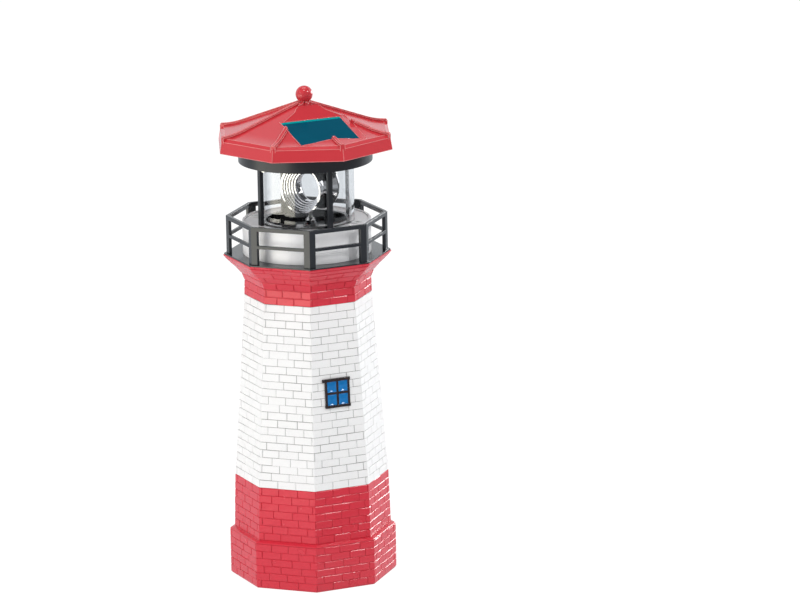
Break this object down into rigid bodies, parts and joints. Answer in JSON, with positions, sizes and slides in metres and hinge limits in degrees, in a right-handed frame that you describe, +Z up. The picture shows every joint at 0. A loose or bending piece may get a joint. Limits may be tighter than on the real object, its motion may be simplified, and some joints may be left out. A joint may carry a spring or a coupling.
{
  "type": "solar garden lighthouse lamp",
  "caption": "Octagonal brick lighthouse ornament with a gallery, a glazed lantern, a motor-driven reflector, a solar roof and a window.",
  "frame": {"origin": "centre of the base, on the surface the ornament stands on", "axes": "+Z up along the tower; -Y towards the facet with the window and the roof hip with the solar panel"},
  "size_m": [0.1032, 0.1032, 0.28],
  "materials": {
    "tower_white": "white masonry paint over a brick relief, satin",
    "tower_red": "coral red masonry paint over a brick relief, satin",
    "roof_red": "glossy injection-moulded red plastic",
    "black_plastic": "satin black moulded plastic",
    "gloss_black": "glossy black moulded plastic",
    "silver_drum": "silver-white lacquer with a fine brushed grain",
    "clear": "clear polystyrene",
    "chrome": "vacuum-metallised plastic",
    "solar_teal": "laminated solar cell, glossy petrol blue",
    "window_blue": "glossy blue lacquer",
    "window_brown": "dark brown lacquer",
    "steel": "zinc-plated",
    "motor_can": "plated steel can",
    "brass": "plain",
    "gear_plastic": "natural acetal",
    "board_green": "solder-masked laminate",
    "cell_sleeve": "plain shrink sleeve, unmarked",
    "lead_insulation": "insulated stranded leads, one red and one black of each pair"
  },
  "bodies": {
    "lamp": {"tower_shell": "tower_white", "base_cover": "black_plastic", "cover_screws": "steel", "window_frame": "window_brown", "window_panes": "window_blue", "gallery_deck": "black_plastic", "gallery_railing": "black_plastic", "drum": "silver_drum", "drive_base": "black_plastic", "drum_screws": "steel", "gear_plate": "black_plastic", "gear_plate_screws": "steel", "motor": "motor_can", "idler_axle": "steel", "platform": "gloss_black", "clear_tube": "clear", "lantern_pillars": "black_plastic", "lead_sleeve": "black_plastic", "motor_leads": "lead_insulation", "head_tray": "black_plastic", "led": "clear", "circuit_board": "board_green", "battery": "cell_sleeve", "battery_holder": "black_plastic", "battery_contacts": "brass", "switch_body": "steel", "head_leads": "lead_insulation", "roof": "roof_red", "roof_screws": "steel", "solar_panel": "solar_teal", "finial": "roof_red"},
    "rotor": {"spindle": "steel", "spindle_gear": "gear_plastic", "drip_skirt": "clear", "reflector": "chrome"},
    "idler": {"idler_gear": "gear_plastic"},
    "motor_rotor": {"motor_shaft": "steel", "motor_pinion": "brass"},
    "power_switch": {"switch_knob": "black_plastic"}
  },
  "joints": [
    {"name": "reflector_spin", "type": "hinge", "parent": "lamp", "child": "rotor", "pos_m": [0.0024, 0, 0.2], "axis": [0, 0, 1], "continuous": true},
    {"name": "idler_spin", "type": "hinge", "parent": "lamp", "child": "idler", "pos_m": [0.01383, 0.00971, 0.195], "axis": [0, 0, 1], "continuous": true},
    {"name": "motor_spin", "type": "hinge", "parent": "lamp", "child": "motor_rotor", "pos_m": [0.0024, 0.015, 0.195], "axis": [0, 0, 1], "continuous": true},
    {"name": "switch_slide", "type": "slide", "parent": "lamp", "child": "power_switch", "axis": [-0.7071, 0.7071, 0], "range_m": [0, 0.002]}
  ],
  "couplings": [
    {"joint": "idler_spin", "follows": "reflector_spin", "ratio": -4},
    {"joint": "motor_spin", "follows": "reflector_spin", "ratio": 12.8}
  ]
}
